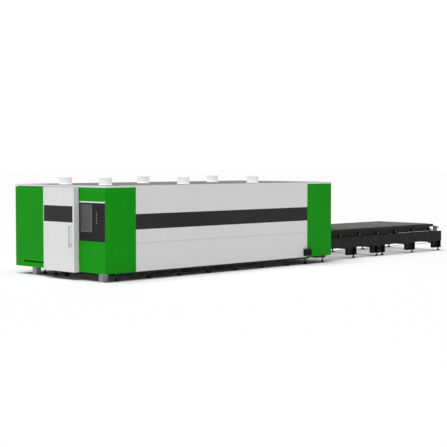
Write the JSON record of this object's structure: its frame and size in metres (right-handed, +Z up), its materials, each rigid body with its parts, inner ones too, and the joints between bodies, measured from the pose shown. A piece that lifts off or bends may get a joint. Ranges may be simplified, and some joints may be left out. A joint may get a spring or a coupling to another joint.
{
  "type": "fiber laser cutting machine",
  "caption": "Enclosed laser cutting machine for metal sheet, with a sliding door, a gantry with cutting head, and an exchange table with two slatted pallets that swap places.",
  "frame": {"origin": "middle of the whole machine's footprint, cabin and exchange table together, at floor level", "axes": "+X along the machine from the door end towards the exchange table, +Y from the operator's long side to the rear, +Z up"},
  "size_m": [14.294, 3.637, 2.415],
  "materials": {
    "green_paint": "satin green powder coat",
    "white_paint": "satin white powder coat",
    "roof_grey": "grey powder coat",
    "black_paint": "black structural paint",
    "frame_grey": "grey structural paint",
    "pedestal_grey": "light grey paint",
    "ground_steel": "ground steel",
    "dark_steel": "oiled steel",
    "galvanised": "galvanised sheet",
    "cast_alloy": "machined cast alloy",
    "laser_glass": "dark laser-safe glazing, too dark to see through",
    "black_panel": "satin black",
    "screen": "unlit display",
    "light_diffuser": "white diffuser",
    "red_plastic": "red button",
    "button_grey": "light grey button",
    "black_plastic": "black plastic",
    "motor_black": "black motor paint",
    "copper": "copper nozzle",
    "slat_steel": "cut steel sheet"
  },
  "bodies": {
    "machine": {"base_frame": "black_paint", "bed_sides": "frame_grey", "bed_tracks": "frame_grey", "cabin_frame": "frame_grey", "console_cover": "green_paint", "console_panel": "black_panel", "display": "screen", "door_rails": "ground_steel", "drive_chains": "dark_steel", "duct_collars": "white_paint", "electrical_cabinet": "white_paint", "end_column_covers": "green_paint", "end_header": "green_paint", "end_stops": "dark_steel", "exchange_gearmotor": "motor_black", "front_pedestals": "pedestal_grey", "gantry_rails": "ground_steel", "gear_racks": "ground_steel", "indicator_lamps": "black_plastic", "laser_source": "white_paint", "left_cover": "green_paint", "light_strip": "light_diffuser", "machine_feet": "black_paint", "rear_panels": "white_paint", "roof_panels": "roof_grey", "roof_trim": "white_paint", "scrap_trays": "galvanised", "side_panels": "white_paint", "side_windows": "laser_glass", "table_feet": "black_paint", "table_side_beams": "black_paint", "table_supports": "black_paint"},
    "door": {"door_leaf": "white_paint", "door_window": "laser_glass", "door_handle": "ground_steel", "door_lock": "dark_steel", "door_carriages": "dark_steel"},
    "gantry": {"gantry_beam": "cast_alloy", "beam_rails": "ground_steel", "gantry_end_blocks": "cast_alloy", "gantry_motors": "motor_black"},
    "carriage": {"carriage": "cast_alloy"},
    "head": {"z_slide": "cast_alloy", "cutting_head": "cast_alloy", "nozzle": "copper"},
    "upper_pallet": {"upper_pallet_frame": "black_paint", "upper_pallet_slats": "slat_steel", "upper_pallet_wheels": "dark_steel"},
    "lower_pallet": {"lower_pallet_frame": "black_paint", "lower_pallet_slats": "slat_steel", "lower_pallet_wheels": "dark_steel"},
    "drive_shaft": {"drive_shaft": "dark_steel"},
    "idler_shaft": {"idler_shaft": "dark_steel"},
    "emergency_stop": {"emergency_stop": "red_plastic"},
    "selector_knob": {"selector_knob": "black_plastic"},
    "panel_button_1": {"panel_button_1": "button_grey"},
    "panel_button_2": {"panel_button_2": "button_grey"},
    "panel_button_3": {"panel_button_3": "button_grey"},
    "panel_button_4": {"panel_button_4": "button_grey"},
    "panel_button_5": {"panel_button_5": "button_grey"}
  },
  "joints": [
    {"name": "door_slide", "type": "slide", "parent": "machine", "child": "door", "axis": [0, 1, 0], "range_m": [0, 1.02]},
    {"name": "gantry_slide", "type": "slide", "parent": "machine", "child": "gantry", "axis": [1, 0, 0], "range_m": [0, 6.05]},
    {"name": "carriage_slide", "type": "slide", "parent": "gantry", "child": "carriage", "axis": [0, 1, 0], "range_m": [0, 2.01]},
    {"name": "head_slide", "type": "slide", "parent": "carriage", "child": "head", "axis": [0, 0, -1], "range_m": [0, 0.15]},
    {"name": "upper_pallet_slide", "type": "slide", "parent": "machine", "child": "upper_pallet", "axis": [-1, 0, 0], "range_m": [0, 6.25]},
    {"name": "lower_pallet_slide", "type": "slide", "parent": "machine", "child": "lower_pallet", "axis": [1, 0, 0], "range_m": [0, 6.25]},
    {"name": "drive_shaft_turn", "type": "hinge", "parent": "machine", "child": "drive_shaft", "pos_m": [0.137, -0.2835, 0.29], "axis": [0, 1, 0], "continuous": true},
    {"name": "idler_shaft_turn", "type": "hinge", "parent": "machine", "child": "idler_shaft", "pos_m": [6.637, -0.2835, 0.29], "axis": [0, 1, 0], "continuous": true},
    {"name": "emergency_stop_press", "type": "slide", "parent": "machine", "child": "emergency_stop", "axis": [1, 0, 0], "range_m": [0, 0.006], "stiffness_N_per_m": 900},
    {"name": "selector_turn", "type": "hinge", "parent": "machine", "child": "selector_knob", "pos_m": [-6.923, -0.9955, 1.12], "axis": [1, 0, 0], "range_deg": [-45, 45]},
    {"name": "button_1_press", "type": "slide", "parent": "machine", "child": "panel_button_1", "axis": [1, 0, 0], "range_m": [0, 0.004], "stiffness_N_per_m": 600},
    {"name": "button_2_press", "type": "slide", "parent": "machine", "child": "panel_button_2", "axis": [1, 0, 0], "range_m": [0, 0.004], "stiffness_N_per_m": 600},
    {"name": "button_3_press", "type": "slide", "parent": "machine", "child": "panel_button_3", "axis": [1, 0, 0], "range_m": [0, 0.004], "stiffness_N_per_m": 600},
    {"name": "button_4_press", "type": "slide", "parent": "machine", "child": "panel_button_4", "axis": [1, 0, 0], "range_m": [0, 0.004], "stiffness_N_per_m": 600},
    {"name": "button_5_press", "type": "slide", "parent": "machine", "child": "panel_button_5", "axis": [1, 0, 0], "range_m": [0, 0.004], "stiffness_N_per_m": 600}
  ],
  "couplings": [
    {"joint": "lower_pallet_slide", "follows": "upper_pallet_slide", "ratio": 1},
    {"joint": "drive_shaft_turn", "follows": "upper_pallet_slide", "rad_per_m": -22.222},
    {"joint": "idler_shaft_turn", "follows": "upper_pallet_slide", "rad_per_m": -22.222}
  ]
}
